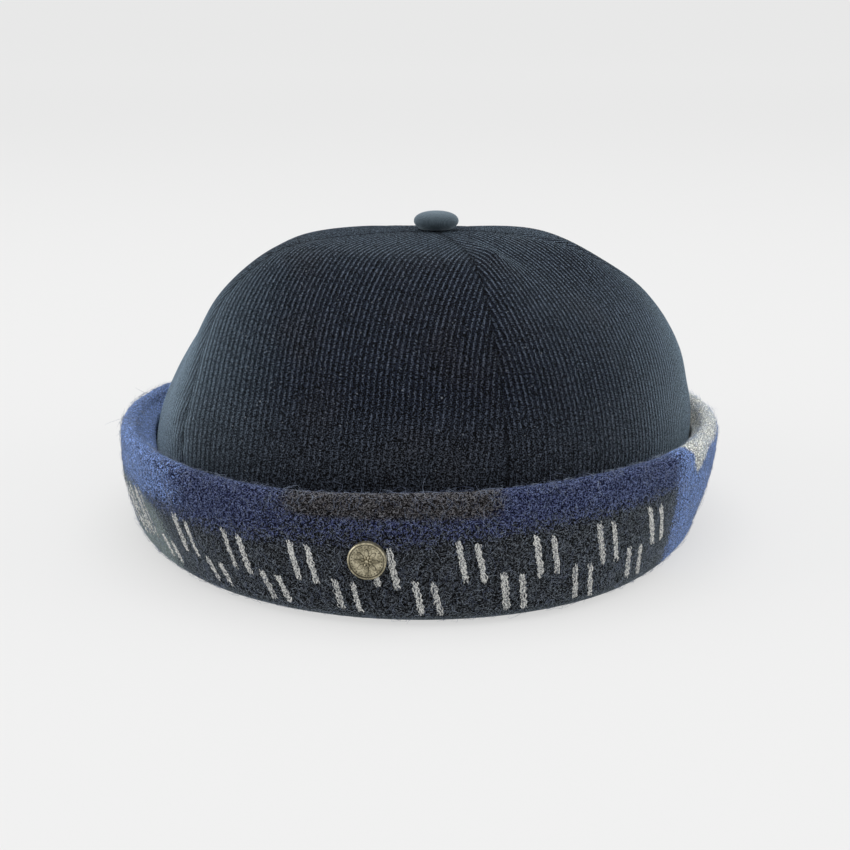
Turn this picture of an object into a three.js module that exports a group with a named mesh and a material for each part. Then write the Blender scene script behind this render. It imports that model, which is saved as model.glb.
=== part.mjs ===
// A docker beanie: a brimless cap of five corduroy panels, with a covered button on top,
// a turned-up brushed wool cuff round the bottom, and a small round badge on the cuff.
// Millimetres, +Z up, origin on the surface it rests on, under the middle of the cuff.
// The front faces -Y. An azimuth is an angle in degrees about +Z, from the front toward +X.
import * as THREE from 'three';

// Driving sizes
const CLOTH = 1.9;            // thickness of the corduroy panels
const SEAM_GAP = 0.4;         // space left between two panels along a seam
const HALF_HOLE = 2.6;        // radius of the hole in the crown that the button's shank fills
const CUFF_WALL = 4.8;        // the doubled wool of the cuff
const RIM_ROLL = 3.2;         // radius of the rolled edge at the top of the cuff
const FOLD_ROLL = 6.2;        // outer radius of the fold at the bottom of the cuff
const FOLD_DEPTH = 4.2;       // thickness of the wool that is turned in under the crown
const FOLD_REACH = 11.8;      // how far the fold reaches in from the cuff's outside
const CUFF_BELLY = 1.4;       // how far the cuff's wall bows out between its fold and its rim
const BUTTON_RADIUS = 7.4;
const BUTTON_HEIGHT = 5.6;
const BUTTON_LIFT = 0.9;      // how far its underside stands above the crown's middle
const BADGE_RADIUS = 5.7;
const BADGE_THICKNESS = 1.9;
const APEX = { x: 6.5, y: 4.4 };  // the crown's top stands a little to one side of the cuff's middle

// The crown from its lower edge to its top, a row for each level. z is the level's height and the
// four radii are those toward the sides. turn moves the seams round from where they start to where
// they meet the button. corner is the share of each seam's corner, and puff that of each panel's.
const LEVELS = [
  { z: 4.6, front: 91.6, right: 92.6, back: 91.6, left: 92.2, turn: 0, corner: 0, puff: 0 },
  { z: 20, front: 90.6, right: 93.8, back: 90.6, left: 92.6, turn: 0, corner: 0.4, puff: 0 },
  { z: 38, front: 90.2, right: 93.6, back: 89.6, left: 90.4, turn: 0, corner: 0.75, puff: 0 },
  { z: 50, front: 86.4, right: 90.4, back: 87.0, left: 86.2, turn: 0.04, corner: 1, puff: 0.1 },
  { z: 60, front: 79.8, right: 87.2, back: 83.0, left: 81.2, turn: 0.14, corner: 1, puff: 0.3 },
  { z: 70, front: 72.2, right: 81.2, back: 77.0, left: 75.2, turn: 0.3, corner: 1, puff: 0.5 },
  { z: 80, front: 62.6, right: 71.6, back: 68.0, left: 68.2, turn: 0.48, corner: 1, puff: 0.7 },
  { z: 88, front: 53.4, right: 59.4, back: 54.0, left: 60.6, turn: 0.64, corner: 0.8, puff: 0.9 },
  { z: 94, front: 44.4, right: 47.6, back: 39.5, left: 52.2, turn: 0.78, corner: 0.6, puff: 1 },
  { z: 97, front: 37.6, right: 35.4, back: 23.0, left: 43.4, turn: 0.9, corner: 0.4, puff: 0.8 },
  { z: 98.4, front: 26, right: 22.4, back: 12.4, left: 28.6, turn: 1, corner: 0.2, puff: 0.4 },
  { z: 99.2, front: 12, right: 12, back: 7, left: 12, turn: 1, corner: 0, puff: 0.1 },
  { z: 99.2, front: HALF_HOLE, right: HALF_HOLE, back: HALF_HOLE, left: HALF_HOLE, turn: 1, corner: 0, puff: 0 },
];

// The seams: the azimuth where each starts at the bottom and where it meets the button, and how
// far it stands out as a corner of the crown.
const SEAMS = {
  front: { bottom: 16.4, top: 17.4, corner: 2.4 },
  right: { bottom: 87.5, top: 89, corner: 2.2 },
  rearRight: { bottom: 160, top: 152, corner: 3 },
  rearLeft: { bottom: -126, top: -144, corner: 3 },
  left: { bottom: -50, top: -80, corner: 9 },
};
const SEAM_DIP = 0.8;         // depth of the valley that the stitches pull in
const SEAM_DIP_SHARE = 0.05;  // its width, as a share of half a panel

// The five panels, each from its left seam to its right one as seen from outside. puff is how far
// the cloth stands out between its seams near the top, less than nothing where it is pressed in.
const PANELS = [
  { name: 'crown_panel_front_left', from: 'left', to: 'front', puff: 0 },
  { name: 'crown_panel_front_right', from: 'front', to: 'right', puff: -3.6 },
  { name: 'crown_panel_rear_right', from: 'right', to: 'rearRight', puff: 1.5 },
  { name: 'crown_panel_rear', from: 'rearRight', to: 'rearLeft', puff: 0.4 },
  { name: 'crown_panel_rear_left', from: 'rearLeft', to: 'left', puff: 0.4 },
];

// The cuff, a row for each 30 degrees: the outer radius at the fold and at the rim, and the rim's
// height. The rim stands out at the crown's corners and dips between them.
const CUFF = [
  { azimuth: -180, fold: 100.0, rim: 101.2, height: 38.4 },
  { azimuth: -150, fold: 100.6, rim: 100.4, height: 37.2 },
  { azimuth: -120, fold: 101.6, rim: 99.4, height: 37.0 },
  { azimuth: -90, fold: 100.6, rim: 101.2, height: 39.6 },
  { azimuth: -60, fold: 99.0, rim: 104.4, height: 39.6 },
  { azimuth: -30, fold: 101.4, rim: 102.0, height: 38.1 },
  { azimuth: 0, fold: 103.2, rim: 99.4, height: 38.9 },
  { azimuth: 30, fold: 103.2, rim: 101.6, height: 39.9 },
  { azimuth: 60, fold: 99.6, rim: 105.0, height: 39.7 },
  { azimuth: 90, fold: 99.2, rim: 104.4, height: 37.9 },
  { azimuth: 120, fold: 101.3, rim: 101.6, height: 37.8 },
  { azimuth: 150, fold: 101.1, rim: 100.8, height: 38.6 },
];
const BADGE_AZIMUTH = -7.9;
const BADGE_HEIGHT = 20.6;

// How finely each piece is divided
const PANEL_COLUMNS = [-1, -0.95, -0.88, -0.75, -0.55, -0.3, 0, 0.3, 0.55, 0.75, 0.88, 0.95, 1];
const PANEL_ROWS = 24;
const CUFF_STEPS = 72;
const ROUND_STEPS = 28;

const COLOURS = {
  corduroy: { color: 0x161b28, roughness: 0.9, metalness: 0 },
  button: { color: 0x39454f, roughness: 0.85, metalness: 0 },
  wool: { color: 0x2c3552, roughness: 0.95, metalness: 0 },
  badge: { color: 0x96917c, roughness: 0.4, metalness: 0.9 },
};

const rad = THREE.MathUtils.degToRad;
const mix = THREE.MathUtils.lerp;

// One smooth value between four neighbours, at a share t from b to c
function spline(a, b, c, d, t) {
  const slopeIn = (c - a) / 2;
  const slopeOut = (d - b) / 2;
  const cubic = 2 * b - 2 * c + slopeIn + slopeOut;
  const square = -3 * b + 3 * c - 2 * slopeIn - slopeOut;
  return ((cubic * t + square) * t + slopeIn) * t + b;
}

// A column of LEVELS at a height share t, 0 at the lower edge and 1 at the button
function level(column, t) {
  const last = LEVELS.length - 1;
  const place = THREE.MathUtils.clamp(t, 0, 1) * last;
  const row = Math.min(Math.floor(place), last - 1);
  const at = (k) => LEVELS[THREE.MathUtils.clamp(k, 0, last)][column];
  return spline(at(row - 1), at(row), at(row + 1), at(row + 2), place - row);
}

// A column of CUFF at any azimuth
function cuffValue(column, azimuth) {
  const count = CUFF.length;
  const place = (azimuth + 180) / (360 / count);
  const row = Math.floor(place);
  const at = (k) => CUFF[((k % count) + count) % count][column];
  return spline(at(row - 1), at(row), at(row + 1), at(row + 2), place - row);
}

function seamAzimuth(seam, t) {
  return mix(SEAMS[seam].bottom, SEAMS[seam].top, level('turn', t));
}

// The azimuth of a place on a panel, s running from -1 at one seam to 1 at the other
function panelAzimuth(panel, s, t) {
  const from = seamAzimuth(panel.from, t);
  let to = seamAzimuth(panel.to, t);
  if (to < from) to += 360;
  return mix(from, to, (s + 1) / 2);
}

// The crown's outer surface. The radius blends the four sides, the seams stand out as corners,
// and each panel puffs out between its seams and dips along them.
function crownPoint(panel, s, t) {
  const azimuth = rad(panelAzimuth(panel, s, t));
  const sideways = Math.sin(azimuth);
  const forward = Math.cos(azimuth);
  const across = level(sideways > 0 ? 'right' : 'left', t) * sideways ** 2;
  const along = level(forward > 0 ? 'front' : 'back', t) * forward ** 2;
  const nearSeam = SEAMS[s < 0 ? panel.from : panel.to];
  const corner = nearSeam.corner * level('corner', t) * Math.sin((Math.PI / 2) * Math.abs(s)) ** 4;
  const puff = panel.puff * level('puff', t) * Math.cos((Math.PI / 2) * s) ** 2;
  const dip = SEAM_DIP * Math.exp(-(((1 - Math.abs(s)) / SEAM_DIP_SHARE) ** 2));
  const flatness = level('puff', t);
  const radius = across + along + corner + (puff - dip) * (1 - flatness);
  const height = level('z', t) + (puff - dip) * flatness;
  const lean = (level('z', t) / LEVELS.at(-1).z) ** 2;
  return new THREE.Vector3(
    APEX.x * lean + radius * sideways,
    APEX.y * lean - radius * forward,
    height,
  );
}

// The outward direction at a place on a panel, from two short steps along its surface
function crownNormal(panel, s, t) {
  const step = 0.01;
  const s0 = Math.max(s - step, -1);
  const s1 = Math.min(s + step, 1);
  const t0 = Math.max(t - step, 0);
  const t1 = Math.min(t + step, 1);
  const across = crownPoint(panel, s1, t).sub(crownPoint(panel, s0, t));
  const up = crownPoint(panel, s, t1).sub(crownPoint(panel, s, t0));
  return across.cross(up).normalize();
}

// Indexed geometry from a list of points and a list of triangles
function solid(points, triangles) {
  const geometry = new THREE.BufferGeometry();
  geometry.setAttribute('position', new THREE.Float32BufferAttribute(points.flatMap((p) => [p.x, p.y, p.z]), 3));
  geometry.setIndex(triangles);
  geometry.computeVertexNormals();
  return geometry;
}

// One panel: an outer and an inner skin, joined along the four edges
function panelGeometry(panel) {
  const wide = PANEL_COLUMNS.length;
  const tall = PANEL_ROWS + 1;
  const outer = [];
  const inner = [];
  for (let row = 0; row < tall; row += 1) {
    const t = row / PANEL_ROWS;
    for (const share of PANEL_COLUMNS) {
      const radius = level('front', t);
      const half = rad(panelAzimuth(panel, 1, t) - panelAzimuth(panel, -1, t)) / 2;
      const s = share * (1 - SEAM_GAP / 2 / (radius * half));
      const point = crownPoint(panel, s, t);
      outer.push(point);
      inner.push(point.clone().addScaledVector(crownNormal(panel, s, t), -CLOTH));
    }
  }
  const count = outer.length;
  const triangles = [];
  const quad = (a, b, c, d) => triangles.push(a, b, c, a, c, d);
  for (let row = 0; row < tall - 1; row += 1) {
    for (let column = 0; column < wide - 1; column += 1) {
      const a = row * wide + column;
      quad(a, a + 1, a + wide + 1, a + wide);
      quad(count + a + wide, count + a + wide + 1, count + a + 1, count + a);
    }
    const left = row * wide;
    const right = left + wide - 1;
    quad(left, left + wide, count + left + wide, count + left);
    quad(right + wide, right, count + right, count + right + wide);
  }
  for (let column = 0; column < wide - 1; column += 1) {
    const top = (tall - 1) * wide + column;
    quad(column + 1, column, count + column, count + column + 1);
    quad(top, top + 1, count + top + 1, count + top);
  }
  return solid([...outer, ...inner], triangles);
}

// Points on a quarter or half turn, from one angle to another in degrees
function arc(r, z, radius, start, end, steps) {
  const points = [];
  for (let k = 0; k <= steps; k += 1) {
    const angle = rad(mix(start, end, k / steps));
    points.push({ r: r + radius * Math.cos(angle), z: z + radius * Math.sin(angle) });
  }
  return points;
}

// The cuff's section at one azimuth, counterclockwise with r to the right: the flat under the
// fold, the outer wall, the rolled rim, the inner face and the wool turned in under the crown
function cuffSection(azimuth) {
  const fold = cuffValue('fold', azimuth);
  const rim = cuffValue('rim', azimuth);
  const height = cuffValue('height', azimuth);
  const rimLevel = height - RIM_ROLL;
  const wall = (share) => ({
    r: mix(fold, rim, share) + CUFF_BELLY * Math.sin(Math.PI * share),
    z: mix(FOLD_ROLL, rimLevel, share),
  });
  const inside = (share) => {
    const point = wall(share);
    return { r: point.r - CUFF_WALL, z: point.z };
  };
  const hem = FOLD_DEPTH / 2;
  return [
    ...arc(fold - FOLD_ROLL, FOLD_ROLL, FOLD_ROLL, -90, 0, 4),
    ...[0.25, 0.5, 0.75].map(wall),
    ...arc(rim - RIM_ROLL, rimLevel, RIM_ROLL, 0, 180, 6),
    ...[0.8, 0.5, 0.2].map(inside),
    { r: fold - CUFF_WALL, z: FOLD_DEPTH + 0.6 },
    { r: fold - CUFF_WALL - 0.6, z: FOLD_DEPTH },
    ...arc(fold - FOLD_REACH + hem, hem, hem, 90, 270, 4),
  ];
}

function cuffGeometry() {
  const points = [];
  const triangles = [];
  let size = 0;
  for (let step = 0; step < CUFF_STEPS; step += 1) {
    const azimuth = -180 + (360 * step) / CUFF_STEPS;
    const section = cuffSection(azimuth);
    size = section.length;
    for (const { r, z } of section) {
      points.push(new THREE.Vector3(r * Math.sin(rad(azimuth)), -r * Math.cos(rad(azimuth)), z));
    }
  }
  for (let step = 0; step < CUFF_STEPS; step += 1) {
    const here = step * size;
    const next = ((step + 1) % CUFF_STEPS) * size;
    for (let k = 0; k < size; k += 1) {
      const after = (k + 1) % size;
      triangles.push(here + k, next + k, next + after, here + k, next + after, here + after);
    }
  }
  return solid(points, triangles);
}

// The button: a domed disc over a slightly narrower neck, and the shank that goes through the
// crown's hole
function buttonGeometry() {
  const neck = BUTTON_RADIUS * 0.9;
  const shank = HALF_HOLE - 0.6;
  const profile = [
    new THREE.Vector2(0, -CLOTH - 1),
    new THREE.Vector2(shank, -CLOTH - 1),
    new THREE.Vector2(shank, 0),
    new THREE.Vector2(neck - 0.4, 0),
    new THREE.Vector2(neck, 0.6),
    new THREE.Vector2(BUTTON_RADIUS - 0.2, 1.7),
    new THREE.Vector2(BUTTON_RADIUS, 2.7),
    new THREE.Vector2(BUTTON_RADIUS * 0.95, 3.8),
    new THREE.Vector2(BUTTON_RADIUS * 0.78, 4.8),
    new THREE.Vector2(BUTTON_RADIUS * 0.5, BUTTON_HEIGHT - 0.2),
    new THREE.Vector2(0, BUTTON_HEIGHT),
  ];
  return new THREE.LatheGeometry(profile, ROUND_STEPS).rotateX(Math.PI / 2);
}

// The badge: a disc with a raised rim, and a boss in the middle of its sunk face
function badgeGeometry() {
  const rim = BADGE_RADIUS * 0.84;
  const boss = BADGE_RADIUS * 0.3;
  const face = BADGE_THICKNESS - 0.4;
  const profile = [
    new THREE.Vector2(0, 0),
    new THREE.Vector2(BADGE_RADIUS - 0.3, 0),
    new THREE.Vector2(BADGE_RADIUS, 0.4),
    new THREE.Vector2(BADGE_RADIUS, BADGE_THICKNESS - 0.4),
    new THREE.Vector2(BADGE_RADIUS - 0.3, BADGE_THICKNESS),
    new THREE.Vector2(rim + 0.2, BADGE_THICKNESS),
    new THREE.Vector2(rim, face),
    new THREE.Vector2(boss, face),
    new THREE.Vector2(boss * 0.7, BADGE_THICKNESS),
    new THREE.Vector2(0, BADGE_THICKNESS + 0.1),
  ];
  return new THREE.LatheGeometry(profile, ROUND_STEPS).rotateX(Math.PI / 2);
}

function mesh(name, geometry, colour) {
  const piece = new THREE.Mesh(geometry, new THREE.MeshStandardMaterial(COLOURS[colour]));
  piece.name = name;
  return piece;
}

const hat = new THREE.Group();

for (const panel of PANELS) {
  hat.add(mesh(panel.name, panelGeometry(panel), 'corduroy'));
}

const button = mesh('top_button', buttonGeometry(), 'button');
button.position.set(APEX.x, APEX.y, LEVELS.at(-1).z + BUTTON_LIFT);
hat.add(button);

hat.add(mesh('cuff', cuffGeometry(), 'wool'));

// The badge stands against the cuff's wall, square to it
const section = cuffSection(BADGE_AZIMUTH).filter(({ z }) => z > FOLD_ROLL);
const outermost = Math.max(...section.map(({ r, z }) => (Math.abs(z - BADGE_HEIGHT) < 9 ? r : 0)));
const badge = mesh('badge', badgeGeometry(), 'badge');
const badgeHolder = new THREE.Group();
badge.rotation.x = Math.PI / 2;
badge.position.set(0, -(outermost + 0.4), BADGE_HEIGHT);
badgeHolder.rotation.z = rad(BADGE_AZIMUTH);
badgeHolder.add(badge);
hat.add(badgeHolder);

// The origin goes under the middle of the whole hat's box
const middle = new THREE.Box3().setFromObject(hat, true).getCenter(new THREE.Vector3());
hat.position.set(-middle.x, -middle.y, 0);

export default hat;
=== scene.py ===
"""A docker beanie in its cloths: corduroy crown, wool cuff, covered button and metal badge."""
import math

import bmesh
import bpy
import numpy as np
from mathutils import Matrix, Vector


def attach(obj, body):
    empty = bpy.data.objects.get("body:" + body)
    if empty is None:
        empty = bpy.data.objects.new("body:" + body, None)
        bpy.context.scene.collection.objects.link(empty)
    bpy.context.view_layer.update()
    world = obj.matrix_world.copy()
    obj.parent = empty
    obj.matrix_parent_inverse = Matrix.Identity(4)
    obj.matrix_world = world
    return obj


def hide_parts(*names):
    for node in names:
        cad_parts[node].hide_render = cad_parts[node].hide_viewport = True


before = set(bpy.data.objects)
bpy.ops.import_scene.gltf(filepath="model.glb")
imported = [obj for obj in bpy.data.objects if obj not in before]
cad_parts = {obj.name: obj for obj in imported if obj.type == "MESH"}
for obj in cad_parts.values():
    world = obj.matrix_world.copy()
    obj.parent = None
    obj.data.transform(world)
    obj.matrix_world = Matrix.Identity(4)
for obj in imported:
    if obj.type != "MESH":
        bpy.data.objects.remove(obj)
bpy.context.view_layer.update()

# Sizes are in millimetres, and each finished piece is brought to metres. The front faces -Y.
# An azimuth is an angle in degrees about +Z, from the front toward +X.
MM = 0.001
CENTRE = np.array([-1.05, 1.56, 0.0])   # where the cuff's own middle stands
APEX = np.array([6.5, 4.4])             # how far the crown's top leans from there
CLOTH = 1.9                             # thickness of the corduroy
WALE_PITCH = 1.8                        # from one rib of the corduroy to the next
WALE_RISE = 0.13                        # height of a rib above the furrow beside it
WALE_SAMPLES = (0.0, 0.12, 0.3, 0.5, 0.7, 0.88)   # where a rib is sampled across its width
PANEL_ROWS = 62                         # rows of vertices up a panel
MEASURES_ACROSS = 161                   # places where a panel is measured first, across and up
MEASURES_UP = 281
SEAM_WIDTH = 2.2                        # how far from a seam its dip reaches
SEAM_LAP = 0.12                         # how much wider a panel is than the gap it fills
SEAM_REACH = 1.03                       # the widest that the lap may make it, as a share
SEAM_SHADE = 0.55                       # half the width of the painted shade line along a seam

# The crown from its lower edge to its top: four radii, how far the seams have turned, and the
# shares of the corners at the seams and of the puff between them. It ends at the small hole that
# the button covers.
LEVELS = [
    dict(z=4.6, front=91.6, right=92.6, back=91.6, left=92.2, turn=0, corner=0, puff=0),
    dict(z=20, front=90.6, right=93.8, back=90.6, left=92.6, turn=0, corner=0.4, puff=0),
    dict(z=38, front=90.2, right=93.6, back=89.6, left=90.4, turn=0, corner=0.75, puff=0),
    dict(z=50, front=86.4, right=90.4, back=87.0, left=86.2, turn=0.04, corner=1, puff=0.1),
    dict(z=60, front=79.8, right=87.2, back=83.0, left=81.2, turn=0.14, corner=1, puff=0.3),
    dict(z=70, front=72.2, right=81.2, back=77.0, left=75.2, turn=0.3, corner=1, puff=0.5),
    dict(z=80, front=62.6, right=71.6, back=68.0, left=68.2, turn=0.48, corner=1, puff=0.7),
    dict(z=88, front=53.4, right=59.4, back=54.0, left=60.6, turn=0.64, corner=0.8, puff=0.9),
    dict(z=94, front=44.4, right=47.6, back=39.5, left=52.2, turn=0.78, corner=0.6, puff=1),
    dict(z=97, front=37.6, right=35.4, back=23.0, left=43.4, turn=0.9, corner=0.4, puff=0.8),
    dict(z=98.4, front=26, right=22.4, back=12.4, left=28.6, turn=1, corner=0.2, puff=0.4),
    dict(z=99.2, front=12, right=12, back=7, left=12, turn=1, corner=0, puff=0.1),
    dict(z=99.2, front=2.6, right=2.6, back=2.6, left=2.6, turn=1, corner=0, puff=0),
]
SEAMS = {
    "front": dict(bottom=16.4, top=17.4, corner=2.4, dip=0.35),
    "right": dict(bottom=87.5, top=89, corner=2.2, dip=0.9),
    "rear_right": dict(bottom=160, top=152, corner=3, dip=1.0),
    "rear_left": dict(bottom=-126, top=-144, corner=3, dip=1.0),
    "left": dict(bottom=-50, top=-80, corner=9, dip=0.35),
}
# dip is how far the cloth is drawn in at a seam. grain is the angle by which the ribs turn from
# straight up the middle of a panel.
PANELS = [
    dict(name="front_left", start="left", end="front", puff=0, grain=-2.5),
    dict(name="front_right", start="front", end="right", puff=-3.6, grain=-12),
    dict(name="rear_right", start="right", end="rear_right", puff=1.5, grain=-3),
    dict(name="rear", start="rear_right", end="rear_left", puff=0.4, grain=0),
    dict(name="rear_left", start="rear_left", end="left", puff=0.4, grain=3),
]
# A fold lies beside the front seam near the top: its place across the panel, its half width, its
# height, and the shares up the panel between which it stands.
FOLD = dict(panel="front_right", place=-0.66, width=0.17, rise=2.0, low=0.66, high=0.97)
PUCKER_RISE = 0.16          # small creases where the left seam goes into the cuff
PUCKER_PITCH = 7.5          # from one crease to the next
PUCKER_REACH = 5.0          # how far from the seam they fade

# The cuff, a row for each 30 degrees
CUFF = [
    dict(azimuth=-180, fold=100.0, rim=101.2, height=38.4),
    dict(azimuth=-150, fold=100.6, rim=100.4, height=37.2),
    dict(azimuth=-120, fold=101.6, rim=99.4, height=37.0),
    dict(azimuth=-90, fold=100.6, rim=101.2, height=39.6),
    dict(azimuth=-60, fold=99.0, rim=104.4, height=39.6),
    dict(azimuth=-30, fold=101.4, rim=102.0, height=38.1),
    dict(azimuth=0, fold=103.2, rim=99.4, height=38.9),
    dict(azimuth=30, fold=103.2, rim=101.6, height=39.9),
    dict(azimuth=60, fold=99.6, rim=105.0, height=39.7),
    dict(azimuth=90, fold=99.2, rim=104.4, height=37.9),
    dict(azimuth=120, fold=101.3, rim=101.6, height=37.8),
    dict(azimuth=150, fold=101.1, rim=100.8, height=38.6),
]
CUFF_WALL = 4.8             # thickness of the doubled wool
RIM_ROLL = 3.2              # radius of the rim's roll
RIM_TURN = 150              # degrees through which the rim rolls over
FOLD_ROLL = 6.2             # radius of the fold at the bottom
FOLD_DEPTH = 4.2            # thickness of the wool that is turned in under the crown
FOLD_REACH = 11.8           # how far in from the fold's outer side that wool ends
CUFF_BELLY = 1.4            # how far the wall bows out
HUG_DEPTH = 3.5             # below this the cuff's inner side lies against the crown
HUG_GAP = 0.7               # and stands this far from it
LEAN_LEVEL = (9, 15)        # heights between which the inner side turns to lean in on the crown
SWELL_LEVEL = (1.0, 5.0)    # heights between which the unevenness begins, above the level fold
LUMP = 0.30                 # heights of the brushed wool's broad and small unevenness
RIPPLE = 0.10
WEAVE_RADIUS = 102          # where the weave is measured round the cuff
CUFF_COLUMNS = 720
# Rows of the section: round the fold, up the outer side, over the rim, down inside, round the hem
FOLD_ROWS = 9
WALL_ROWS = 22
RIM_ROWS = 13
INNER_ROWS = 24
HEM_ROWS = 9
RIM_START = FOLD_ROWS + WALL_ROWS
RIM_END = RIM_START + RIM_ROWS

# Where the dyes of the wool begin and end, as heights at azimuths and an azimuth at heights
BLUE_EDGE = dict(
    azimuth=[-180, -60, -47, -20, -3, 12, 24, 36, 50, 180],
    height=[27, 25, 24.5, 25, 25, 28, 30, 30, 30.5, 28],
)
BLUE_SOFTNESS = dict(azimuth=[-60, -20, 30, 50], height=[7.0, 6.0, 5.0, 3.0])
BEIGE_EDGE = dict(
    azimuth=[56, 57, 57.8, 59.6, 62, 64.6, 74, 90, 120, 140],
    height=[40, 38.5, 34.9, 30.5, 32.7, 36.9, 37.4, 36.2, 36.0, 36.4],
)
GREEN_EDGE = dict(height=[7, 14, 22, 27], azimuth=[-49.5, -51.5, -54, -58.5])
GREEN_END = (-108, -84)     # azimuths between which the green fades out toward the back
GREEN_TOP = (24.5, 30)      # and heights between which it fades out upward
BROWN_LEVEL = (30.6, 35.4)
LEFT_SHEEN_LEVEL = (22, 30)
RIM_LEVEL = (34, 37.5)
BLUE_FADE = 0.52            # how much of the blue is missing in front
PALE_BLUE_AND_SHEEN_SHARE = 0.8
# Zones round the cuff: from one azimuth to another, and how softly each ends
ZONES = {
    "front fade": dict(low=-27, high=11, soft=9),
    "right blue": dict(low=52.2, high=118, soft=1.2),
    # The right sky zone is partly a paler blue dye and partly painted sheen; the left sky zone is
    # painted sheen.
    "right sky": dict(low=52.5, high=118, soft=3.5),
    "left sky": dict(low=-118, high=-50, soft=13),
    "front brown": dict(low=-22, high=14, soft=3.2),
    "rear brown": dict(low=150, high=176, soft=2.4),
    "outer beige": dict(low=56.4, high=140, soft=1.1),
    "inner beige": dict(low=55.5, high=140, soft=1.5),
    "front rim": dict(low=-46, high=46, soft=8),
}

# The woven dashes in sight, in pairs: the azimuth of the left one's top, the heights of its ends,
# and how far its foot stands to the right of its top.
DASHES = [
    dict(azimuth=-46.7, top=24.2, foot=11.2, lean=4.4),
    dict(azimuth=-34.4, top=24.8, foot=11.1, lean=4.5),
    dict(azimuth=-21.4, top=24.6, foot=11.8, lean=3.5),
    dict(azimuth=-7.7, top=25.2, foot=11.8, lean=2.9),
    dict(azimuth=6.7, top=26.5, foot=13.2, lean=2.5),
    dict(azimuth=19.8, top=26.6, foot=12.6, lean=1.8),
    dict(azimuth=31.7, top=27.2, foot=12.6, lean=2.2),
    dict(azimuth=43.3, top=27.6, foot=13.3, lean=3.8),
    dict(azimuth=-52.7, top=13.6, foot=5.6, lean=3.4),
    dict(azimuth=-39.1, top=13.0, foot=4.6, lean=4.2),
    dict(azimuth=-26.9, top=13.8, foot=4.0, lean=4.2),
    dict(azimuth=-13.6, top=14.4, foot=3.8, lean=2.6),
    dict(azimuth=-0.5, top=15.2, foot=3.2, lean=2.6),
    dict(azimuth=14.1, top=16.3, foot=3.6, lean=1.3),
    dict(azimuth=27.0, top=15.6, foot=3.4, lean=0.9),
    dict(azimuth=38.8, top=16.4, foot=4.6, lean=1.1),
]
# Longer single strokes stand close together on the grey-green part at the left.
STROKES = [
    dict(azimuth=-59.3, top=27.0, foot=8.4, lean=7.0),
    dict(azimuth=-61.0, top=25.4, foot=10.0, lean=5.4),
    dict(azimuth=-62.4, top=25.8, foot=8.2, lean=6.6),
    dict(azimuth=-64.6, top=23.6, foot=7.6, lean=7.6),
    dict(azimuth=-66.2, top=24.8, foot=9.0, lean=6.0),
    dict(azimuth=-68.6, top=22.6, foot=7.2, lean=10.0),
    dict(azimuth=-71.0, top=24.0, foot=8.0, lean=6.0),
    dict(azimuth=-74.0, top=22.8, foot=7.6, lean=7.0),
    dict(azimuth=-77.5, top=24.0, foot=8.4, lean=6.0),
]
# Out of sight the pairs go on round the back, ten in each of two rows.
REAR_ROWS = [
    dict(start=122.0, top=26.0, foot=12.4),
    dict(start=128.4, top=15.0, foot=4.0),
]
REAR_PAIRS = 10
REAR_LEAN = 2.6
DASH_STEP = 12.9            # degrees from one pair to the next round the back
PAIR_STEP = 3.05            # degrees from a dash to its twin
TWIN_DROP = dict(top=0.7, foot=0.5)
DASH_STRANDS = 9
STROKE_STRANDS = 2
YARN = 0.21                 # radius of one strand of a dash
STRAND_CUTS = 26            # places where a strand can bend
HALF_DASH = 0.66            # from the middle of a dash to its outermost strand
DASH_SPAN = (2.0, 36.0)     # heights between which the wall under the dashes is measured
HAIRS = 7500
HAIR_CUTS = 3
HAIR_FROM = 3               # the first row of the cuff's section that they stand on
HAIR_ROOT = 0.048           # radius of a loose fibre at its root and at its tip
HAIR_TIP = 0.020

BUTTON_RADIUS = 7.65
BUTTON_HEIGHT = 5.6
BUTTON_LIFT = 0.9           # how far the button's underside stands above the crown's top level
BUTTON_SHIFT = 0.45         # how far it sits to the right of the seams' meeting place
# Widths of the rings that its face, 1, and its underside, -1, are cut into
BUTTON_RINGS = {1: (0.5, 0.7, 0.9, 1.2, 1.5), -1: (0.7, 2.0)}

BADGE_RADIUS = 5.7
BADGE_THICKNESS = 1.9
BADGE_AZIMUTH = -7.9
BADGE_HEIGHT = 21.1
BADGE_GAP = 0.3             # between the badge's back and the wool
BADGE_INSETS = ((0.22, 0.2), (0.22, 0.0), (0.12, -0.32), (0.5, 0.0))   # widths and depths
BADGE_FACE = BADGE_THICKNESS / 2 - 0.22   # the sunk face, from the badge's middle
BADGE_GROOVE = 5.14         # radius of the groove beside the rim
BADGE_GROUND = 4.64         # and of the ring that the petals and beads stand inside
BEADS = dict(count=30, ring=4.45, radius=0.2)
PETALS = [
    dict(count=8, ring=2.5, shift=0, scale=(1.368, 0.651, 0.5)),
    dict(count=8, ring=1.2, shift=0.5, scale=(0.72, 0.372, 0.6)),
]
BOSS_RADIUS = 0.62

# Colours, as linear red, green and blue
FURROW = (0.0038, 0.0050, 0.0088)
# the tufts on the ribs, lighter than the furrows; toward the crown's top they also carry a painted
# highlight
TUFT_AND_HIGHLIGHT = (0.027, 0.033, 0.047)
WARM_PILE = (0.0150, 0.0130, 0.0140)
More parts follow.
